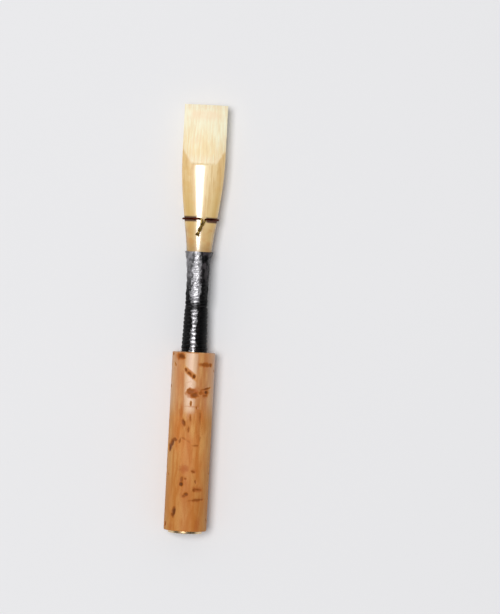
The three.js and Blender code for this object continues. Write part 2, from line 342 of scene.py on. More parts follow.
def long_cylinder(name, sides, radius, start, end, ends="NOTHING"):
    select_only()
    bpy.ops.mesh.primitive_cylinder_add(
        vertices=sides,
        radius=radius,
        depth=end - start,
        end_fill_type=ends,
        location=(0, (start + end) / 2, AXIS_HEIGHT),
        rotation=(-math.pi / 2, 0, 0),
    )
    return settle(name_new(name))


def points_of(obj):
    places = np.empty(len(obj.data.vertices) * 3)
    obj.data.vertices.foreach_get("co", places)
    return places.reshape(-1, 3)


def move_points(obj, x, y, over_axis):
    obj.data.vertices.foreach_set("co", np.column_stack((x, y, AXIS_HEIGHT + over_axis)).ravel())
    obj.data.update()


def angle_round(places):
    """The angle of each point round the reed's axis, from the top and growing towards +X."""
    return np.arctan2(places[:, 0], places[:, 2] - AXIS_HEIGHT)


def share_between(value, start, end):
    return np.clip((value - start) / (end - start), 0, 1)


def eased(value, start, end):
    share = share_between(value, start, end)
    return share * share * (3 - 2 * share)


def between(first, second, share):
    return first + (second - first) * share


def uneven(places, size):
    """Smooth noise at each place, from about -1 to 1, in lumps of about this size."""
    return np.array([noise.noise(Vector(place) / size) for place in places])


def note(obj, name, values):
    """Keeps one number for each vertex, which a material can read."""
    kept = obj.data.attributes.new(name, "FLOAT", "POINT")
    kept.data.foreach_set("value", np.asarray(values, np.float32))


# %% [markdown]
# The staple is a thin metal tube: a cone as far as the cork reaches, and then it turns oval, so that
# the blades can lie on it. The cylinder's rows take that shape, and a Solidify modifier gives the
# wall. A small bevel rounds the rim that shows below the cork.

# %% Staple
MOUTH_RADIUS = 2.8 * mm
WAIST_RADIUS = 1.88 * mm
TOP_HALF_WIDTH, TOP_HALF_HEIGHT = 1.34 * mm, 1.15 * mm
STAPLE_WALL = 0.35 * mm
RIM_ROUNDING = 0.06 * mm
STAPLE_SIDES, STAPLE_CUTS = 96, 60
STAPLE_SMOOTH_ANGLE = math.radians(40)


def staple_halves(y):
    round_half = between(MOUTH_RADIUS, WAIST_RADIUS, share_between(y, STAPLE_FOOT, CORK_TOP))
    oval = share_between(y, CORK_TOP, STAPLE_TOP)
    return between(round_half, TOP_HALF_WIDTH, oval), between(round_half, TOP_HALF_HEIGHT, oval)


staple = long_cylinder("staple", STAPLE_SIDES, MOUTH_RADIUS, STAPLE_FOOT, STAPLE_TOP)
cut_long_edges(staple, STAPLE_CUTS)
places = points_of(staple)
around = angle_round(places)
half_width, half_height = staple_halves(places[:, 1])
move_points(staple, half_width * np.sin(around), places[:, 1], half_height * np.cos(around))
add_wall(staple, STAPLE_WALL)
round_corners(staple, RIM_ROUNDING, segments=3)
settle(staple)
bpy.ops.object.shade_smooth_by_angle(angle=STAPLE_SMOOTH_ANGLE)
count_faces(staple)

# %% [markdown]
# The cork sleeve starts as an open cylinder too. Its ends are extruded and drawn in to the staple,
# the two inner edges are bridged to make the bore, and the outer corners are bevelled.

# %% Cork sleeve
CORK_RADIUS = (cork_high.z - cork_low.z) / 2
CORK_SIDES, CORK_CUTS = 192, (15, 15)
CORK_ROUNDING = 0.16 * mm
BORE_GAP = 0.04 * mm
END_TOLERANCE = 0.06 * mm
SKIN_RADIUS, PITTED_RADIUS = 0.99 * CORK_RADIUS, 0.94 * CORK_RADIUS


def draw_in_end(obj, end, scale):
    """Extrudes the open edge at one end of a long cylinder and draws it in towards the axis."""
    bpy.ops.mesh.select_all(action="DESELECT")
    shape = bmesh.from_edit_mesh(obj.data)
    for edge in shape.edges:
        at_end = all(abs(vertex.co.y - end) < END_TOLERANCE for vertex in edge.verts)
        edge.select_set(edge.is_boundary and at_end)
    bpy.ops.mesh.extrude_region_move()
    bpy.ops.transform.resize(value=(scale, 1, scale), center_override=(0, end, AXIS_HEIGHT))


cork = long_cylinder("cork", CORK_SIDES, CORK_RADIUS, CORK_FOOT, CORK_TOP)
edit_edges(cork)
for cork_end in (CORK_FOOT, CORK_TOP):
    draw_in_end(cork, cork_end, (staple_halves(cork_end)[0] + BORE_GAP) / CORK_RADIUS)
bpy.ops.mesh.select_all(action="DESELECT")
bpy.ops.mesh.select_non_manifold()
bpy.ops.mesh.bridge_edge_loops()
face_outwards(cork)
round_corners(cork, CORK_ROUNDING, segments=4)
settle(cork)
for cuts in CORK_CUTS:
    cut_long_edges(cork, cuts, least_radius=SKIN_RADIUS, shortest=mm)
count_faces(cork)

# %% [markdown]
# Cork is full of pores, and sanding opens them to dark pits. Each pit here is an ellipse with an
# uneven edge. Those on top are set after the real sleeve's, in millimetres: along from its
# foot and across from its middle line. A stain is the same kind of mark, with colour alone.

# %% Marks on top of the cork
Pit = namedtuple("Pit", "along across length width turn depth")
PITS_ON_TOP = [
    (28.6, -2.0, 0.95, 1.45, 0, 0.85),
    (27.2, -2.85, 0.85, 0.3, -30, 0.6),
    (27.35, 2.1, 0.65, 2.3, 3, 0.55),
    (27.3, 2.9, 0.6, 0.7, 0, 0.65),
    (26.4, -1.1, 0.75, 0.4, -20, 0.8),
    (25.85, -0.5, 0.5, 1.1, 40, 0.85),
    (25.35, 0.3, 0.65, 0.55, 0, 1.0),
    (22.95, -0.15, 0.9, 1.5, 0, 0.6),
    (22.35, 0.55, 0.9, 1.3, 0, 0.75),
    (22.7, 1.5, 0.7, 0.9, 0, 0.4),
    (23.45, 2.45, 0.3, 2.0, -12, 0.8),
    (22.85, 2.5, 0.5, 0.9, 0, 0.9),
    (22.3, 2.2, 0.35, 1.2, -8, 0.5),
    (20.95, 0.0, 0.85, 0.25, 0, 0.9),
    (20.3, 1.0, 0.55, 0.25, 0, 0.6),
    (17.75, -1.05, 1.3, 0.6, -20, 0.75),
    (18.5, 0.05, 1.15, 0.3, -4, 0.55),
    (16.65, -0.2, 1.0, 0.32, 0, 0.55),
    (18.7, 1.65, 2.4, 0.4, -2, 0.4),
    (15.2, 1.8, 1.1, 0.35, 0, 0.3),
    (13.55, -3.2, 1.4, 0.85, -16, 1.0),
    (14.3, -2.85, 2.0, 0.95, 24, 0.85),
    (14.95, -2.35, 0.7, 0.9, 0, 0.7),
    (14.75, -1.55, 1.0, 0.45, 14, 0.5),
    (15.15, -0.9, 0.4, 1.1, 28, 0.35),
    (14.75, -0.1, 0.36, 0.9, 28, 0.25),
    (14.1, 1.1, 0.4, 1.25, -8, 0.45),
    (9.85, 0.95, 0.35, 0.9, 20, 0.6),
    (7.75, -0.95, 0.7, 0.65, 0, 1.0),
    (8.5, -0.95, 1.2, 0.5, 8, 0.65),
    (8.65, -0.3, 0.4, 0.45, 0, 0.5),
    (8.2, 1.4, 0.7, 0.35, -10, 0.6),
    (6.85, 1.3, 0.6, 0.7, 0, 0.65),
    (6.95, 1.8, 0.4, 1.4, 6, 0.6),
    (6.1, -0.1, 0.6, 0.8, 0, 0.8),
    (5.8, -0.45, 0.55, 0.8, -20, 0.65),
    (5.2, 1.85, 0.45, 2.9, -6, 0.6),
    (3.2, -1.98, 1.7, 0.85, 10, 0.95),
    (2.65, -2.2, 0.7, 0.8, 0, 0.8),
    (9.2, -3.2, 0.6, 0.35, 0, 0.5),
]
STAINS_ON_TOP = [
    (28.6, -2.15, 1.3, 1.8, 0, 0.8),
    (27.35, 2.1, 0.9, 2.7, 0, 0.7),
    (25.85, -0.4, 1.15, 2.4, 36, 0.4),
    (24.4, -0.65, 0.3, 1.3, -20, 0.45),
    (20.45, 0.1, 0.4, 2.6, 0, 0.5),
    (22.7, 0.2, 1.7, 2.3, 0, 1.0),
    (22.8, 2.2, 1.7, 2.0, 0, 0.7),
    (19.5, -1.6, 2.6, 0.8, 0, 0.6),
    (17.7, -1.1, 1.7, 0.9, -20, 0.5),
    (17.5, 1.4, 6.5, 0.8, -2, 0.5),
    (14.3, -2.9, 2.4, 1.2, 20, 0.5),
    (10.2, -0.7, 1.3, 1.9, 0, 0.7),
    (10.0, 1.0, 0.8, 1.3, 0, 0.5),
    (8.1, -0.6, 1.5, 1.3, 0, 0.4),
    (6.95, 1.7, 1.0, 2.1, 0, 0.7),
    (5.9, -0.3, 1.0, 1.5, 0, 0.5),
    (5.2, 1.8, 0.8, 3.1, -6, 0.5),
    (1.2, 2.0, 2.4, 1.1, 8, 0.6),
    (0.7, -2.3, 1.2, 1.3, 0, 0.4),
]


def on_sleeve(along, across, length, width, turn, depth):
    """A mark in metres, with its place across taken round the sleeve."""
    arc = CORK_RADIUS * math.asin(across * mm / CORK_RADIUS)
    return Pit(along * mm, arc, length * mm, width * mm, turn, depth)


pits = [on_sleeve(*pit) for pit in PITS_ON_TOP]
stains = [on_sleeve(*stain) for stain in STAINS_ON_TOP]
print(len(pits), "pits and", len(stains), "stains on top")

# %% [markdown]
# The rest of the sleeve gets its pits by chance, from a fixed seed. Most are small and a few large,
# and they lie either along the sleeve or across it.

# %% Pits by chance
TOP_HALF_ANGLE = math.radians(68)
CHANCE_PITS = 110
chance = np.random.default_rng(11)
for _ in range(CHANCE_PITS):
    angle = chance.uniform(TOP_HALF_ANGLE, 2 * math.pi - TOP_HALF_ANGLE)
    size = chance.lognormal(-0.9, 0.5) * mm
    shape_share = chance.uniform(0.3, 1.0)
    long_way = chance.random() < 0.5
    pits.append(
        Pit(
            along=chance.uniform(0, CORK_TOP - CORK_FOOT),
            across=angle * CORK_RADIUS,
            length=size if long_way else size * shape_share,
            width=size * shape_share if long_way else size,
            turn=chance.uniform(-30, 30),
            depth=chance.uniform(0.4, 1.0),
        )
    )

# %% [markdown]
# Every point of the sleeve gets the depth of the deepest pit that it lies in. A Displace modifier
# sinks the pits by that number, through a vertex group.

# %% Sunk pits
PIT_SINK = 0.22 * mm
PIT_REACH, STAIN_REACH, FULL_DEPTH_REACH = 1.35, 1.6, 0.4
PIT_EDGE_NOISE = 0.35
PIT_NOISE_SIZE = 0.45 * mm
places = points_of(cork)
along = places[:, 1] - CORK_FOOT
across = angle_round(places) * CORK_RADIUS
girth = 2 * math.pi * CORK_RADIUS
waver = uneven(places, PIT_NOISE_SIZE)
outer_skin = np.hypot(places[:, 0], places[:, 2] - AXIS_HEIGHT) > PITTED_RADIUS


def spread(marks, reach):
    """How deep in a mark each point of the sleeve is: 1 in the middle, 0 past its reach."""
    deepest = np.zeros(len(places))
    for mark in marks:
        turn = math.radians(mark.turn)
        up = along - mark.along
        aside = (across - mark.across + girth / 2) % girth - girth / 2
        long_way = (up * math.cos(turn) + aside * math.sin(turn)) / (mark.length / 2)
        short_way = (aside * math.cos(turn) - up * math.sin(turn)) / (mark.width / 2)
        distance = np.hypot(long_way, short_way) + PIT_EDGE_NOISE * waver
        deepest = np.maximum(deepest, mark.depth * eased(distance, reach, FULL_DEPTH_REACH))
    return deepest * outer_skin


sunk = spread(pits, PIT_REACH)
group = cork.vertex_groups.new(name="pits")
for index in np.flatnonzero(sunk > 0):
    group.add([int(index)], float(sunk[index]), "REPLACE")
note(cork, "pit", sunk)
note(cork, "stain", spread(stains + pits[len(PITS_ON_TOP) :], STAIN_REACH))
sink = cork.modifiers.new("sink the pits", "DISPLACE")
sink.vertex_group, sink.direction = "pits", "NORMAL"
sink.strength, sink.mid_level = -PIT_SINK, 0
settle(cork)
bpy.ops.object.shade_smooth()
print(f"deepest pit {sunk.max() * PIT_SINK / mm:.2f} mm")

# %% [markdown]
# A blade is a gouged, shaped and scraped slip of cane. Seen from above, it is narrow where it is
# tied and flares to the tip. Across, it is an arch, a cosine raised to a power: 1 gives half an
# oval, as round as the staple, and 2 the flatter curve of the tip. The bark is left on up to a
# U-shaped line, and above it the cane is scraped ever thinner.

# %% The shape of a blade
TAIL_HALF_WIDTH = 1.52 * mm
CANE_PAST_STAPLE = 0.72 * mm
THROAT_HALF_WIDTH = staple_halves(THROAT)[0] + CANE_PAST_STAPLE
THROAT_FLARE = 5
TIP_HALF_WIDTH = (blade_high.x - blade_low.x) / 2
FLARE_LENGTH = 15.5 * mm
FLARE_STEEPNESS = 1.3
SIDE_WALL = 0.25 * mm
BARK_THICKNESS = 0.55 * mm
TAIL_THICKNESS = 0.3 * mm
TAIL_BEVEL_LENGTH = 3 * mm
SCRAPE_LENGTH = 9.9 * mm
SHOULDER_RISE = 2.1 * mm
FLAT_SCRAPE_SHARE = 0.5
BARK_RAMP = 0.22 * mm
HEART_THICKNESS = 0.43 * mm
TIP_BAND_LENGTH = 1.3 * mm
TIP_BAND_THICKNESS = 0.22 * mm
TIP_THICKNESS = 0.1 * mm
EDGE_THICKNESS, TIP_EDGE_THICKNESS = 0.16 * mm, 0.06 * mm
TIP_OPENING = 0.86 * mm
TIP_CORNER_GAP, THROAT_GAP = 0.28 * mm, 0.04 * mm
GLUE_GAP = 0.04 * mm
BARK_END = TIP - SCRAPE_LENGTH
TIP_BAND_START = TIP - TIP_BAND_LENGTH
FLATNESS_PLACES = (THROAT, WIRE_PLACE, BARK_END, TIP)
FLATNESSES = (1, 1.3, 1.45, 2)
BLADE_COLUMNS = 48
BLADE_SIDES, BLADE_CUTS = 2 * BLADE_COLUMNS + 4, (14, 15)
BLADE_SMOOTH_ANGLE = math.radians(35)


def blade_half_width(y):
    squeezed = share_between(y, TAIL_END, THROAT) ** THROAT_FLARE
    tail = between(TAIL_HALF_WIDTH, THROAT_HALF_WIDTH, squeezed)
    quarter_turn = math.pi / 2 * share_between(y, THROAT, THROAT + FLARE_LENGTH)
    flare = between(THROAT_HALF_WIDTH, TIP_HALF_WIDTH, np.sin(quarter_turn) ** FLARE_STEEPNESS)
    return np.where(y <= THROAT, tail, flare)


def scrape_line(column):
    """Where the bark ends: straight in the middle, and nearer to the tip at the blade's edges."""
    across = np.abs(np.sin(column * math.pi / 2))
    return BARK_END + SHOULDER_RISE * eased(across, FLAT_SCRAPE_SHARE, 1)


def blade_thickness(column, y):
    bark = between(
        TAIL_THICKNESS, BARK_THICKNESS, share_between(y, TAIL_END, TAIL_END + TAIL_BEVEL_LENGTH)
    )
    lay = between(HEART_THICKNESS, TIP_BAND_THICKNESS, share_between(y, BARK_END, TIP_BAND_START))
    lay = between(lay, TIP_THICKNESS, share_between(y, TIP_BAND_START, TIP))
    line = scrape_line(column)
    return between(bark, lay, eased(y, line, line + BARK_RAMP))


def blade_faces(column, y, thickness):
    """Where a column of the blade meets its outer face and its hollow, at y, over the axis."""
    staple_width, staple_height = staple_halves(y)
    half_width = blade_half_width(y)
    hollow_half = np.maximum(staple_width + GLUE_GAP, half_width - SIDE_WALL)
    hollow_top = between(staple_height + GLUE_GAP, TIP_OPENING / 2, share_between(y, STAPLE_TOP, TIP))
    outer_half = np.maximum(hollow_half + SIDE_WALL, half_width)
    angle = column * np.arcsin(np.minimum(half_width / outer_half, 1))
    flatness = np.interp(y, FLATNESS_PLACES, FLATNESSES)
    arch = np.maximum(np.cos(angle), 0) ** flatness
    gap = between(THROAT_GAP, TIP_CORNER_GAP, share_between(y, THROAT, TIP)) / 2
    edge = between(EDGE_THICKNESS, TIP_EDGE_THICKNESS, share_between(y, BARK_END, TIP))
    outer = outer_half * np.sin(angle), between(gap + edge, hollow_top + thickness, arch)
    inner = hollow_half * np.sin(angle), between(gap, hollow_top, arch)
    return outer, inner


print(f"cane {2 * blade_half_width(WIRE_PLACE) / mm:.2f} mm wide at the wire")

# %% [markdown]
# A solid cylinder gives the closed bar, and its sides become the arch: half of them its outer face,
# half its hollow, and two its flat edges. The lower blade is the same piece turned half round.

# %% Blades
def blade(name):
    obj = long_cylinder(name, BLADE_SIDES, TIP_HALF_WIDTH, TAIL_END, TIP, ends="NGON")
    for cuts in BLADE_CUTS:
        cut_long_edges(obj, cuts)
    places = points_of(obj)
    y = places[:, 1]
    side = np.rint(angle_round(places) / (2 * math.pi) * BLADE_SIDES).astype(int) % BLADE_SIDES
    on_outer = side <= BLADE_COLUMNS + 1
    column = 2 * side / BLADE_COLUMNS - 1
    column = np.where(on_outer, column, 1 - 2 * (side - BLADE_COLUMNS - 2) / BLADE_COLUMNS)
    column = np.clip(column, -1, 1)
    outer, inner = blade_faces(column, y, blade_thickness(column, y))
    flat_edge = (side == BLADE_COLUMNS + 1) | (side == BLADE_SIDES - 1)
    face_up = on_outer & ~flat_edge
    x = np.where(on_outer | flat_edge, outer[0], inner[0])
    move_points(obj, x, y, np.where(face_up, outer[1], inner[1]))
    note(obj, "scrape", np.where(face_up, (y - scrape_line(column)) / mm, SCRAPE_LENGTH / mm))
    note(obj, "column", column)
    face_outwards(obj)
    bpy.ops.object.shade_smooth_by_angle(angle=BLADE_SMOOTH_ANGLE)
    return obj


upper_blade = blade("upper_cane_blade")
lower_blade = blade("lower_cane_blade")
bpy.ops.transform.rotate(value=math.pi, orient_axis="Y", center_override=(0, 0, AXIS_HEIGHT))
settle(lower_blade)
count_faces(upper_blade)

# %% [markdown]
# The binding is thread under lacquer, pulled tight over the outermost points of what it ties. That
# outline is found first: at each place along the reed, the points of staple and cane that reach
# furthest in every direction. Each piece of the binding is modelled round a plain circle, and its
# points are then laid on the outline.

# %% What the thread lies on
TIE_ROWS = 150
TIE_DIRECTIONS = 96
TAIL_RAMP = 0.8 * mm
TIE_NOMINAL = 2 * mm
directions = np.linspace(0, 2 * math.pi, TIE_DIRECTIONS, endpoint=False)
facing = np.column_stack((np.sin(directions), np.cos(directions)))


def furthest(points):
    return points[np.argmax(points @ facing.T, axis=0)]


def staple_ring(y):
    half_width, half_height = staple_halves(y)
    return facing * (half_width, half_height)


def cane_ring(y):
    column = np.linspace(-1, 1, 2 * BLADE_COLUMNS + 1)
    outer, _ = blade_faces(column, y, blade_thickness(column, y))
    upper = np.column_stack(outer)
    return np.vstack((upper, -upper))


def tie_outline(y):
    bare = furthest(staple_ring(y))
    cane_place = max(y, TAIL_END)
    covered = furthest(np.vstack((staple_ring(cane_place), cane_ring(cane_place))))
    return between(bare, covered, eased(y, TAIL_END - TAIL_RAMP, TAIL_END))


outlines = np.array([tie_outline(y) for y in np.linspace(TIE_FOOT, THROAT, TIE_ROWS)])


def lay_on_tie(obj, lift):
    """Moves points modelled round the nominal circle so that they lie over the tie's outline."""
    places = points_of(obj)
    angle = angle_round(places) % (2 * math.pi)
    height = np.hypot(places[:, 0], places[:, 2] - AXIS_HEIGHT) - TIE_NOMINAL + lift
    row = share_between(places[:, 1], TIE_FOOT, THROAT) * (TIE_ROWS - 1)
    turn = angle / (2 * math.pi) * TIE_DIRECTIONS
    row_below, turn_below = np.floor(row).astype(int), np.floor(turn).astype(int)
    row_above = np.minimum(row_below + 1, TIE_ROWS - 1)
    lower, upper = (
        between(
            outlines[one_row, turn_below % TIE_DIRECTIONS],
            outlines[one_row, (turn_below + 1) % TIE_DIRECTIONS],
            (turn - turn_below)[:, None],
        )
        for one_row in (row_below, row_above)
    )
    corner = between(lower, upper, (row - row_below)[:, None])
    over_axis = corner[:, 1] + height * np.cos(angle)
    move_points(obj, corner[:, 0] + height * np.sin(angle), places[:, 1], over_axis)


# %% [markdown]
# The first layer of thread, soaked in lacquer, is the ground between the turns. Over the cane the
# lacquer has filled the furrows almost level, in uneven pools. At the foot the thread is built up
# to a collar where it meets the cork.

# %% Lacquered ground
GROUND_LIFT = 0.11 * mm
POOL_LIFT = 0.12 * mm
POOL_UNEVENNESS = 0.16 * mm
POOL_SIZE = 0.9 * mm
POOL_RAMP = 1.5 * mm
NECK_DEPTH, NECK_LENGTH = 0.07 * mm, 1.3 * mm
COLLAR_HEIGHT, COLLAR_LENGTH = 0.12 * mm, 1.2 * mm
GROUND_WALL, GROUND_ROUNDING = 0.08 * mm, 0.04 * mm
GROUND_CUTS = (12, 12)


def collar(y):
    return COLLAR_HEIGHT * (1 - eased(y, TIE_FOOT, TIE_FOOT + COLLAR_LENGTH))


def neck(y):
    """The tie is thinner for a short way, where the cane's tails end and the thread steps down."""
    middle = TAIL_END - TAIL_RAMP / 2
    return -NECK_DEPTH * (1 - eased(np.abs(y - middle), 0, NECK_LENGTH / 2))


def pooled(places):
    """How far the lacquer stands over the ground at each place: none below the cane."""
    over_cane = eased(places[:, 1], TAIL_END, TAIL_END + POOL_RAMP)
    return over_cane * (POOL_LIFT + POOL_UNEVENNESS * uneven(places, POOL_SIZE))


ground = long_cylinder("lacquered_ground", TIE_DIRECTIONS, TIE_NOMINAL, TIE_FOOT, THROAT)
for cuts in GROUND_CUTS:
    cut_long_edges(ground, cuts)
places = points_of(ground)
lay_on_tie(ground, GROUND_LIFT + collar(places[:, 1]) + neck(places[:, 1]) + pooled(places))
add_wall(ground, GROUND_WALL)
round_corners(ground, GROUND_ROUNDING, segments=2)
settle(ground)
bpy.ops.object.shade_smooth()
count_faces(ground)

# %% [markdown]
# The thread itself is one strand, wound turn beside turn. Its section, pressed to an oval, is drawn
# once, and a Screw modifier winds it round the reed. The two ends are closed and sink into the
# lacquer, where the real thread is tucked under its last turns.

# %% Thread
THREAD_TURNS = 24
THREAD_HALF_WIDTH, THREAD_HALF_HEIGHT = 0.315 * mm, 0.13 * mm
THREAD_FLATNESS = 0.7
THREAD_LIFT = 0.13 * mm
THREAD_STEPS = 96
THREAD_SIDES = 12
TUCK_LENGTH, TUCK_DEPTH = 0.5 * mm, 0.16 * mm
THREAD_UNEVENNESS = 0.025 * mm
THREAD_END_GAP = 0.02 * mm
thread_start = TIE_FOOT + THREAD_HALF_WIDTH + THREAD_END_GAP
thread_end = THROAT - THREAD_HALF_WIDTH - THREAD_END_GAP

select_only()
bpy.ops.mesh.primitive_circle_add(
    vertices=THREAD_SIDES,
    radius=1,
    location=(0, thread_start, AXIS_HEIGHT),
    rotation=(0, math.pi / 2, 0),
)
thread = name_new("thread")
bpy.ops.object.transform_apply(location=False, rotation=True, scale=True)
bpy.ops.object.mode_set(mode="EDIT")
for vertex in bmesh.from_edit_mesh(thread.data).verts:
    vertex.co.z = math.copysign(abs(vertex.co.z) ** THREAD_FLATNESS, vertex.co.z)
bpy.ops.mesh.select_all(action="SELECT")
bpy.ops.transform.resize(value=(1, THREAD_HALF_WIDTH, THREAD_HALF_HEIGHT))
bpy.ops.transform.translate(value=(0, 0, TIE_NOMINAL))
bpy.ops.object.mode_set(mode="OBJECT")
winding = thread.modifiers.new("turns", "SCREW")
winding.axis, winding.angle = "Y", 2 * math.pi
winding.iterations, winding.screw_offset = THREAD_TURNS, (thread_end - thread_start) / THREAD_TURNS
winding.steps = winding.render_steps = THREAD_STEPS
bpy.ops.object.modifier_apply(modifier=winding.name)
settle(thread)

# %% Ends of the thread, and its place on the tie
edit_edges(thread)
bpy.ops.mesh.select_non_manifold()
bpy.ops.mesh.edge_face_add()
face_outwards(thread)

places = points_of(thread)
from_end = np.minimum(places[:, 1] - TIE_FOOT, THROAT - places[:, 1])
tucked = TUCK_DEPTH * (1 - eased(from_end, THREAD_HALF_WIDTH, TUCK_LENGTH))
lift = THREAD_LIFT + collar(places[:, 1]) + neck(places[:, 1]) - tucked
lay_on_tie(thread, lift + THREAD_UNEVENNESS * uneven(places, POOL_SIZE))
bpy.ops.object.shade_smooth()
count_faces(thread)

# %% [markdown]
# One strand of soft wire goes round both blades. Its ends hook down towards the thread and are
# twisted together. All of it keeps a small gap over the cane that it lies on.

# %% The twist and the hooks
WIRE_GAP = 0.03 * mm
RING_LEFT_END, RING_RIGHT_END = -0.9 * mm, 0.95 * mm
HOOK_LEFT = [(-0.35, 0.04, 0.02), (0.02, -0.02, 0.1), (0.23, -0.12, 0.16), (0.2, -0.36, 0.12)]
HOOK_RIGHT = [(0.8, -0.06, 0.03), (0.72, -0.25, 0.07), (0.6, -0.5, 0.08)]
TWIST_START = Vector((0.32 * mm, WIRE_PLACE - 0.8 * mm))
TWIST_END = Vector((-0.45 * mm, WIRE_PLACE - 2.7 * mm))
TWIST_PITCH = 2.0 * mm
TWIST_RADIUS = WIRE_RADIUS * 0.96
TWIST_STEPS = 40
HOOK_STEPS = 6


def blade_height(x, y):
    """How high the upper blade's outer face is over the axis at a place near its middle."""
    column = np.linspace(-0.6, 0.6, 61)
    outer, _ = blade_faces(column, y, blade_thickness(column, y))
    return float(np.interp(x, outer[0], outer[1]))


def twist_point(share, side):
    """A point of one of the two strands, from the start of the twist, 0, to its end, 1."""
    middle = TWIST_START.lerp(TWIST_END, share)
    run = TWIST_END - TWIST_START
    direction = run.normalized()
    aside = Vector((-direction.y, direction.x))
    turned = side * math.pi / 2 + 2 * math.pi * share * run.length / TWIST_PITCH
    flat = middle + aside * TWIST_RADIUS * math.sin(turned)
    height = blade_height(middle.x, middle.y) + WIRE_RADIUS + TWIST_RADIUS + WIRE_GAP
    return Vector((flat.x, flat.y, height + TWIST_RADIUS * math.cos(turned)))


def hook_points(hook):
    """A hook's own points: across, along from the ring, and how far it stands off the cane."""
    points = []
    for across, along, lift in hook:
        x, y = across * mm, WIRE_PLACE + along * mm
        points.append(Vector((x, y, blade_height(x, y) + WIRE_RADIUS + WIRE_GAP + lift * mm)))
    return points


def smoothed(points):
    """A curve through the points, with each stretch drawn in several short steps."""
    ends = [2 * points[0] - points[1]] + points + [2 * points[-1] - points[-2]]
    curve = []
    for before, first, last, after in zip(ends, ends[1:], ends[2:], ends[3:]):
        for step in range(HOOK_STEPS):
            t = step / HOOK_STEPS
            curve.append(
                first
                + (last - before) * (t / 2)
                + (2 * before - 5 * first + 4 * last - after) * (t * t / 2)
                + (3 * first - before - 3 * last + after) * (t * t * t / 2)
            )
    return curve + [points[-1]]


# %% [markdown]
# A wire is quickest drawn as a curve. Its route runs up one strand of the twist, round the reed and
# down the other strand. Each hook's curve takes in the last points on both sides of it, and so meets
# them smoothly. A round section follows the route, and the curve is converted to a mesh.

# %% Wire
SEAM_TOLERANCE = 0.001 * mm
wire_ring = furthest(cane_ring(WIRE_PLACE)) + facing * (WIRE_GAP + WIRE_RADIUS)
ring_points = [Vector((x, WIRE_PLACE, z)) for x, z in wire_ring]
half_round = TIE_DIRECTIONS // 2
from_right = [point for point in ring_points[:half_round] if point.x > RING_RIGHT_END or point.z < 0]
from_left = [point for point in ring_points[half_round:] if point.x < RING_LEFT_END or point.z < 0]
right_end = [twist_point(step / TWIST_STEPS, 1) for step in range(TWIST_STEPS, -1, -1)]
left_end = [twist_point(step / TWIST_STEPS, -1) for step in range(TWIST_STEPS + 1)]
hook_right = smoothed(right_end[-3::2] + hook_points(HOOK_RIGHT)[::-1] + from_right[:2])
hook_left = smoothed(from_left[-2:] + hook_points(HOOK_LEFT) + left_end[:3:2])
route = right_end[:-3] + hook_right + from_right[2:] + from_left[:-2] + hook_left + left_end[3:]

strand = bpy.data.curves.new("wire", "CURVE")
strand.dimensions = "3D"
strand.bevel_depth, strand.bevel_resolution = WIRE_RADIUS, 3
strand.use_fill_caps = True
spline = strand.splines.new("POLY")
spline.points.add(len(route) - 1)
for spot, point in zip(spline.points, route):
    spot.co = (point.x, point.y, AXIS_HEIGHT + point.z, 1)
wire = bpy.data.objects.new("wire", strand)
scene.collection.objects.link(wire)
select_only(wire)
bpy.ops.object.convert(target="MESH")
wire = name_new("wire")
bpy.ops.object.mode_set(mode="EDIT")
bpy.ops.mesh.select_all(action="SELECT")
bpy.ops.mesh.remove_doubles(threshold=SEAM_TOLERANCE)
face_outwards(wire)
bpy.ops.object.shade_smooth()
count_faces(wire)

# %% [markdown]
# Cork is orange-brown, a little lighter in long streaks, and speckled by its cells. The pits and
# stains keep their own numbers in attributes, which darken them.

# %% Cork's colours
finish = Finish("natural cork")
streaks = finish.grain(0.55 * mm, stretch=7)
clouds = finish.grain(2.6 * mm, stretch=2, detail=2.0, shift=(3, 1, 2))
cells = finish.grain(0.13 * mm, stretch=1.6, detail=2.0)
pit, stain = finish.attribute("pit"), finish.attribute("stain")
colour = finish.layers(
    (194, 120, 54),
    (streaks.eased(0.35, 0.68), (214, 152, 86)),
    (clouds.eased(0.4, 0.64) * 0.42, (202, 114, 52)),
    (cells.eased(0.52, 0.7) * 0.25, (150, 86, 34)),
    # Painted sheen: both sides of the sleeve are painted paler, as they look where light glances off
    # them.
    (abs(finish.along(0)).eased(1.9, 3.3) * 0.45, (206, 154, 88)),
    ((1 - finish.past(CORK_FOOT, 3, 17)) * 0.4, (176, 108, 44)),
    (stain.eased(0.0, 1.0) * (0.35 + streaks * 0.7), (168, 78, 22)),
    (pit.eased(0.02, 0.6) * 0.85, (146, 78, 20)),
    (pit.eased(0.55, 1.0) * 0.9, (100, 54, 8)),
)
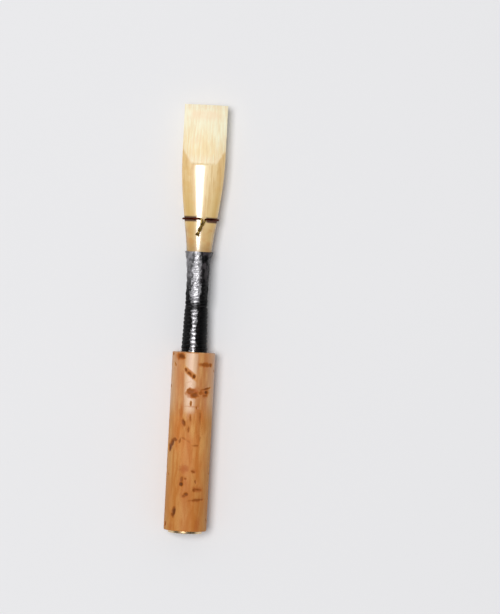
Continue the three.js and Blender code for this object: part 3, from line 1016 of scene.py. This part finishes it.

# %% [markdown]
# Where the sleeve meets the thread, lacquer has run over it, so the cork shines there. Along the
# top, a little left of the middle, a pale strip is painted into the colour as a highlight. It stops
# short of the sleeve's edge. Marks break it, and so does a gap that slants to the right beside the
# slanting pit.

# %% Lacquer and painted highlight on the cork
SLANT_START, SLANT = 3.72, 0.75
lacquered_cork = finish.past(CORK_TOP, -11.5, -7.5)
from_middle = finish.along(0) + 0.3
from_slant = abs(finish.along(1) - CORK_TOP / mm + SLANT_START + finish.along(0) * SLANT)
slanting_gap = (1 - abs(from_middle).eased(0.8, 1.5)) * (1 - from_slant.eased(0.4, 0.75))
unmarked = (1 - stain.eased(0.2, 0.7) * 0.8) * (1 - pit.eased(0.0, 0.15)) * (1 - slanting_gap * 0.9)
# Painted highlight: a pale strip along the top, a little left of the middle, broken by marks.
painted_cork_highlight = 1 - abs(from_middle + (clouds - 0.5) * 0.6 + (streaks - 0.5) * 0.5).eased(0.75, 1.1)
painted_cork_highlight = painted_cork_highlight * finish.past(CORK_TOP, -10.3, -9.3) * (1 - finish.past(CORK_TOP, -0.25, -0.1))
painted_cork_highlight = painted_cork_highlight * unmarked * finish.upper_half()
finish.surface(
    cork,
    Base_Color=finish.mix(painted_cork_highlight * 0.4, colour, (232, 200, 162)),
    Roughness=0.5 + cells * 0.15,
    Specular_IOR_Level=0.25,
    Coat_Weight=lacquered_cork * unmarked,
    Coat_Roughness=0.44,
    Coat_IOR=1.75,
    Normal=finish.bump(cells * 0.5 + streaks, 0.03 * mm),
)

# %% [markdown]
# Cane is a bundle of strands that run along the blade. The blade's own attributes give the distance
# past the scraped line and the place across, so one material holds both the bark and what is bare.

# %% Cane's grain
finish = Finish("cane")
scrape, column = finish.attribute("scrape"), finish.attribute("column")
fibres = finish.grain(0.09 * mm, stretch=34, detail=2.0)
bands = finish.grain(0.5 * mm, stretch=12, detail=2.0, shift=(1, 4, 2))
strands = finish.grain(0.26 * mm, stretch=13, shift=(7, 3, 2))
ragged = finish.grain(0.4 * mm, stretch=3, shift=(2, 2, 5))
blotches = finish.grain(1.5 * mm, shift=(5, 2, 1))
dark_strands = 1 - strands.eased(0.36, 0.52)
from_tip = TIP / mm - finish.along(1)
bare = (scrape + ragged * 0.7 - 0.35).eased(-0.25, 0.55)

# %% [markdown]
# The bark is tan and browner towards the wire. Below the wire it is blotched, and soaked with lacquer
# at its foot. Just right of the middle, beside the highlight, a paler band is painted on as a glow.

# %% Bark's colours
near_wire = 1 - finish.along(1).eased(WIRE_PLACE / mm, BARK_END / mm)
below_wire = 1 - finish.past(WIRE_PLACE, -2.2, -0.4)
soaked = 1 - finish.past(THROAT, 0.4, 2)
painted_edge_shade = abs(column).eased(0.6, 1.0)
# Painted glow: a paler band just right of the middle, beside the highlight strip.
painted_glow = 1 - abs(column - 0.14).eased(0.1, 0.48)
painted_glow = painted_glow * (0.75 - near_wire * 0.35) * (1 - below_wire * 0.6)
bark_colour = finish.layers(
    (238, 198, 134),
    (bands.eased(0.35, 0.7), (246, 212, 150)),
    (near_wire * 0.75, (219, 182, 106)),
    (blotches.eased(0.5, 0.66) * 0.4, (232, 185, 108)),
    (below_wire * 0.6, (208, 172, 114)),
    (below_wire * blotches.eased(0.46, 0.62) * 0.6, (202, 143, 80)),
    (painted_glow, (255, 230, 176)),
    (dark_strands * 0.45, (216, 168, 98)),
    (soaked * 0.5, (164, 126, 78)),
    # Painted shade: below the wire the cane is painted darker towards its edges.
    (below_wire * painted_edge_shade * 0.75, (134, 110, 74)),
)

# %% [markdown]
# Scraped cane is cream, and paler towards the tip, where it is thin. Just short of the tip, and in
# places lower down, it is a little rosy. Its right side is painted paler, as painted light.

# %% Scraped cane's colours
sides = abs(column).eased(0.4, 0.9) * from_tip.eased(5.5, 8.5)
# Painted light: the right side of the scraped cane is painted paler.
painted_lit_right = finish.along(0).eased(0.0, 3.2) * (1 - from_tip.eased(5, 9))
tip_band = from_tip.eased(0.6, 1.4) * (1 - from_tip.eased(1.7, 3.1))
middle = 1 - abs(column + blotches - 0.5).eased(0.25, 0.75)
rose = (bands * 0.5 + blotches * 0.5).eased(0.5, 0.62) * from_tip.eased(3.5, 6)
scraped_colour = finish.layers(
    (253, 246, 214),
    (from_tip.eased(1.5, 7.5), (253, 229, 176)),
    (from_tip.eased(7.8, 9.0) * 0.6, (253, 233, 196)),
    (painted_lit_right * 0.8, (255, 250, 216)),
    (sides, (243, 210, 158)),
    ((1 - from_tip.eased(0.4, 1.2)) * 0.6, (240, 224, 192)),
    (bands.eased(0.45, 0.72) * 0.5, (251, 240, 203)),
    ((1 - bands.eased(0.3, 0.5)) * 0.4, (244, 218, 168)),
    (dark_strands * 0.38, (241, 210, 156)),
    (strands.eased(0.5, 0.62) * 0.5, (255, 250, 220)),
    (fibres.eased(0.55, 0.75) * 0.35, (228, 200, 150)),
    (tip_band * middle * (0.2 + blotches * 0.8), (252, 222, 182)),
    (rose * 0.5, (251, 222, 178)),
)

# %% [markdown]
# Beside the wire the cane is dark, a little lower on the right: partly the wire's stain and partly a
# painted shadow under the wire. The bark's gloss is a clear coat over a broader sheen. It goes where
# the cane is bare, and fades where it is worn or stained.

# %% Cane's stain, painted shadow and gloss
lower_on_right = finish.along(0).eased(0.6, 1.4) * 0.14
from_wire = abs(finish.along(1) - WIRE_PLACE / mm + lower_on_right)
off_middle = abs(finish.along(0) - 0.15).eased(0.55, 1.0)
# Painted shadow: the dark band beside the wire is partly stain and partly shadow under it.
wire_stain_and_shadow = (1 - from_wire.eased(0.28, 0.58)) * (0.1 + off_middle * 0.86)
worn = below_wire * blotches.eased(0.4, 0.6) * 0.5
at_foot = 1 - finish.past(THROAT, 0.1, 0.5)
gloss = (1 - bare) * (1 - soaked * 0.4) * (1 - worn) * (1 - wire_stain_and_shadow) * (1 - at_foot * 0.8)
finish.surface(
    upper_blade,
    lower_blade,
    Base_Color=finish.layers(bark_colour, (bare, scraped_colour), (wire_stain_and_shadow, (70, 22, 10))),
    Roughness=0.4 + bare * 0.25 + wire_stain_and_shadow * 0.35,
    Specular_IOR_Level=0.8,
    Coat_Weight=gloss,
    Coat_Roughness=0.15,
    Coat_IOR=1.6,
    Normal=finish.bump(fibres * (0.15 + bare * 0.85 + below_wire * 0.5), 0.012 * mm),
)

# %% [markdown]
# The thread is black under clear lacquer. Its gloss breaks up on the turns, which are real shape
# here. The material adds the lacquer's fine ripple and dust. Along the top, a little left of the
# middle, a pale and partly metallic painted highlight is added, with a painted reflection on the left
# flank over the cane. The highlight is broad over the cane, narrow below it, and dim at the neck
# between.

# %% Painted highlight on the thread
finish = Finish("lacquered thread")
ripple = finish.grain(0.4 * mm, detail=2.0)
dust = finish.grain(0.7 * mm, stretch=1.4, shift=(2, 6, 1))
crumbs = finish.grain(0.3 * mm, detail=2.0, shift=(4, 1, 3))
over_cane = finish.past(TAIL_END, -0.5, 1.5)
from_ridge = finish.along(0) + 0.22
aside = from_ridge + (dust - 0.5) * 1.4 + (crumbs - 0.5) * 0.8
ridge = 1 - (abs(aside) + finish.past(THROAT, -3, -0.5) * 0.35).eased(0.4, 0.95)
low_ridge = 1 - abs(aside).eased(0.05, 0.5)
# Painted reflection: a grey haze on the left flank over the cane.
painted_left_reflection = (1 - aside.eased(-0.6, 0.4)) * finish.along(1).eased(TAIL_END / mm + 2, THROAT / mm - 3)
at_neck = 1 - abs(finish.along(1) - TAIL_END / mm + 0.5).eased(0.3, 0.85)
# Painted highlight: pale, partly metallic colour along the top, a little left of the middle.
painted_thread_highlight = over_cane * ridge * (0.45 + crumbs.eased(0.34, 0.54) * 0.55)
painted_thread_highlight = painted_thread_highlight + painted_left_reflection * (0.1 + dust.eased(0.3, 0.7) * 0.3) + (1 - over_cane) * low_ridge * 0.85
painted_thread_highlight = painted_thread_highlight * (1 - at_neck * 0.75) * finish.upper_half()

# %% Thread's finish
dusty = finish.along(1).eased(TAIL_END / mm + 2.5, THROAT / mm - 2)
flank = abs(from_ridge).eased(0.5, 1.3)
colour = finish.layers(
    (8, 7, 9),
    (dust.eased(0.5, 0.8), (30, 26, 28)),
    (dusty * dust.eased(0.42, 0.62) * 0.5, (92, 86, 90)),
    (painted_thread_highlight, (216, 214, 219)),
)
finish.surface(
    ground,
    thread,
    Base_Color=colour,
    Metallic=painted_thread_highlight.eased(0.0, 0.9) * 0.9,
    Roughness=0.46 + dust.eased(0.4, 0.8) * 0.1,
    Specular_IOR_Level=0.1,
    Coat_Weight=1 - flank * (0.9 - over_cane * 0.3),
    Coat_Roughness=0.16,
    Coat_IOR=1.45,
    Normal=finish.bump(ripple * (0.15 + over_cane * 0.85), 0.22 * mm),
)

# %% [markdown]
# The staple is drawn brass, with faint lines along it and some tarnish.

# %% Staple's finish
finish = Finish("drawn brass")
drawn = finish.grain(0.12 * mm, stretch=40)
tarnish = finish.grain(1.4 * mm, shift=(3, 3, 3))
finish.surface(
    staple,
    Base_Color=finish.mix(tarnish.eased(0.42, 0.7), (229, 204, 160), (190, 158, 116)),
    Metallic=1.0,
    Roughness=0.2 + drawn * 0.12 + tarnish.eased(0.45, 0.7) * 0.15,
    Normal=finish.bump(drawn, 0.004 * mm),
)

# %% [markdown]
# The wire is brass too. Its ring is dark, partly as tarnish and partly as a painted dark reflection.
# The twist is brassy, and so is a painted glint on top of the hooks, a little right of the middle.

# %% Wire's finish
finish = Finish("tarnished brass wire with painted reflection")
patina = finish.grain(0.35 * mm, shift=(1, 2, 5))
on_twist = (WIRE_PLACE / mm - finish.along(1)).eased(0.1, 0.45)
# Painted glint: brassy colour on top of the hooks, a little right of the middle.
painted_glint_on_hooks = (1 - abs(finish.along(0) - 0.28).eased(0.2, 0.5)) * finish.along(2).eased(4.5, 5)
brassy_and_painted_glint = finish.node("ShaderNodeClamp", sockets={"Value": on_twist + painted_glint_on_hooks})
# Painted reflection: the ring's dark colour is partly tarnish and partly a painted dark reflection.
dark = finish.mix(patina.eased(0.38, 0.66), (90, 40, 24), (50, 20, 12))
brassy = finish.mix(patina.eased(0.4, 0.66), (178, 150, 84), (112, 84, 38))
finish.surface(
    wire,
    Base_Color=finish.mix(brassy_and_painted_glint, dark, brassy),
    Metallic=1.0,
    Roughness=0.3 + patina * 0.2,
    Normal=finish.bump(patina, 0.01 * mm),
)

# %% [markdown]
# The floor and the world come last. Far from the reed the floor glows a little for the camera, so
# that it stays pale up to the horizon, and near the reed it is plain and keeps the shadow.

# %% Floor
PALE, PALE_SPOT, BLACK = (238, 238, 240), (232, 232, 235), (0, 0, 0)
GLOW_START, GLOW_FULL = 200 * mm, 800 * mm
select_only()
bpy.ops.mesh.primitive_plane_add(size=FLOOR_SIZE)
floor = name_new("floor")
finish = Finish("pale floor")
mottle = finish.grain(60 * mm)
far = finish.node("ShaderNodeVectorMath", {"operation": "LENGTH"}, {0: finish.place}, output="Value")
glow = far.eased(GLOW_START, GLOW_FULL) * finish.node("ShaderNodeLightPath", output="Is Camera Ray")
finish.surface(
    floor,
    Base_Color=finish.mix(glow, finish.mix(mottle * 0.3, PALE, PALE_SPOT), BLACK),
    Roughness=0.9,
    Specular_IOR_Level=0.1,
    Emission_Color=finish.mix(glow, BLACK, PALE),
    Emission_Strength=1.0,
)

# %% [markdown]
# The camera sees a pale room. What shines sees its pale walls too, but a dark ceiling, which lets
# black thread look black. A matte surface gets only the fill.

# %% World
WALL_BRIGHTNESS = 0.85
CEILING_BRIGHTNESS = 0.1
scene.world = bpy.data.worlds.new("studio")
room = Finish("studio", shown_by=scene.world)
rays = ["Is Camera Ray", "Is Glossy Ray", "Is Transmission Ray"]
camera_ray, glossy_ray, clear_ray = (room.node("ShaderNodeLightPath", output=ray) for ray in rays)
seen = room.node("ShaderNodeClamp", sockets={"Value": camera_ray + glossy_ray + clear_ray})
direction = room.node("ShaderNodeTexCoord", output="Generated")
upward = room.node("ShaderNodeSeparateXYZ", sockets={"Vector": direction}, output=2)
ceiling = glossy_ray * upward.eased(0.0, 0.3) * (WALL_BRIGHTNESS - CEILING_BRIGHTNESS)
strength = FILL_STRENGTH + seen * (WALL_BRIGHTNESS - FILL_STRENGTH) - ceiling
shade = room.node("ShaderNodeBackground", sockets={"Color": (1, 1, 1, 1), "Strength": strength})
room.node("ShaderNodeOutputWorld", sockets={"Surface": shade})

# %% [markdown]
# Each piece takes the place of its plain CAD solid, which is hidden. The staple, cork, binding and
# wire move with the staple's body; each blade keeps its place in its own mesh.

# %% Bodies
for piece, body, slot, node in (
    (staple, "tied_staple", "staple_metal", "staple_tube"),
    (cork, "tied_staple", "cork", "cork_sleeve"),
    (ground, "tied_staple", "lacquered_thread", "thread_underlay"),
    (thread, "tied_staple", "lacquered_thread", "thread_winding"),
    (wire, "tied_staple", "wire_brass", "blade_wire"),
):
    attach(piece, body)
    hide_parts(node)

for piece, body, node in (
    (upper_blade, "upper_cane", "upper_blade"),
    (lower_blade, "lower_cane", "lower_blade"),
):
    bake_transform(piece)
    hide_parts(node)
